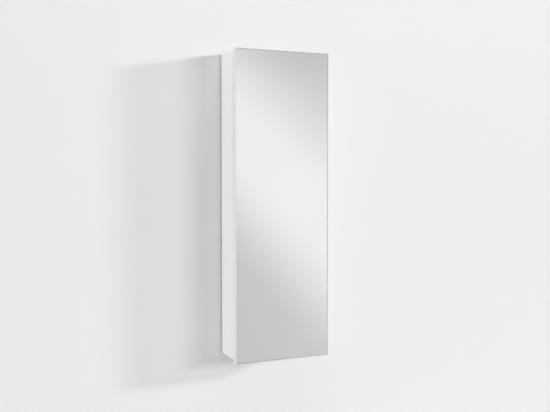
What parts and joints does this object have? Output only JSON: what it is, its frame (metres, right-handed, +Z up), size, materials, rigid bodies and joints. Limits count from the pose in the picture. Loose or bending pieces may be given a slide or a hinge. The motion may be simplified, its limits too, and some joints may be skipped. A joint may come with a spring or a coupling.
{
  "type": "mirrored shoe cabinet",
  "caption": "Shallow wall-hung white shoe cabinet behind one full-height mirror door on a continuous hinge, with push latches and sloped toe shelves with retaining bars.",
  "frame": {"origin": "centre of the four wall-screw holes, on the wall plane at the back faces of the rails", "axes": "+X to the viewer's right, +Y into the wall, +Z up; the mirror faces -Y"},
  "size_m": [0.5025, 0.2, 1.522],
  "materials": {
    "white_board": "white melamine-faced board with a matching edge band, satin",
    "white_hardboard": "thin hardboard with a white lacquered face",
    "mirror": "silvered float glass with a narrow polished bevel round its face",
    "white_steel": "fine-textured white powder coat on bent sheet steel",
    "chrome": "bright chromed steel bar",
    "nickel_steel": "nickel-plated steel, satin",
    "zinc": "die-cast and plated zinc, dull",
    "beech": "fluted beech dowel",
    "white_plastic": "moulded white plastic",
    "grey_plastic": "moulded grey plastic"
  },
  "bodies": {
    "carcass": {"side_panel_left": "white_board", "side_panel_right": "white_board", "top_panel": "white_board", "bottom_panel": "white_board", "hanging_rail_upper": "white_board", "hanging_rail_lower": "white_board", "back_panel": "white_hardboard", "toe_shelf_1": "white_steel", "toe_shelf_2": "white_steel", "toe_shelf_3": "white_steel", "toe_shelf_4": "white_steel", "toe_shelf_5": "white_steel", "retaining_bar_1": "chrome", "retaining_bar_2": "chrome", "retaining_bar_3": "chrome", "retaining_bar_4": "chrome", "retaining_bar_5": "chrome", "hinge_leaf_carcass": "nickel_steel", "hinge_pin": "nickel_steel", "hinge_screws_carcass": "nickel_steel", "shelf_pins": "nickel_steel", "cam_locks": "zinc", "cam_bolts": "zinc", "corner_dowels": "beech", "bar_sockets": "white_plastic", "latch_housing_upper": "grey_plastic", "latch_housing_lower": "grey_plastic"},
    "door": {"door_panel": "white_board", "mirror_glass": "mirror", "hinge_leaf_door": "nickel_steel", "hinge_screws_door": "nickel_steel", "strike_plate_upper": "nickel_steel", "strike_plate_lower": "nickel_steel"},
    "upper_plunger": {"latch_plunger_upper": "grey_plastic", "latch_magnet_upper": "nickel_steel"},
    "lower_plunger": {"latch_plunger_lower": "grey_plastic", "latch_magnet_lower": "nickel_steel"}
  },
  "joints": [
    {"name": "door_swing", "type": "hinge", "parent": "carcass", "child": "door", "pos_m": [0.2505, -0.176, 0], "axis": [0, 0, 1], "range_deg": [0, 180]},
    {"name": "upper_latch_press", "type": "slide", "parent": "carcass", "child": "upper_plunger", "axis": [0, 1, 0], "range_m": [0, 0.002], "stiffness_N_per_m": 1500},
    {"name": "lower_latch_press", "type": "slide", "parent": "carcass", "child": "lower_plunger", "axis": [0, 1, 0], "range_m": [0, 0.002], "stiffness_N_per_m": 1500}
  ]
}
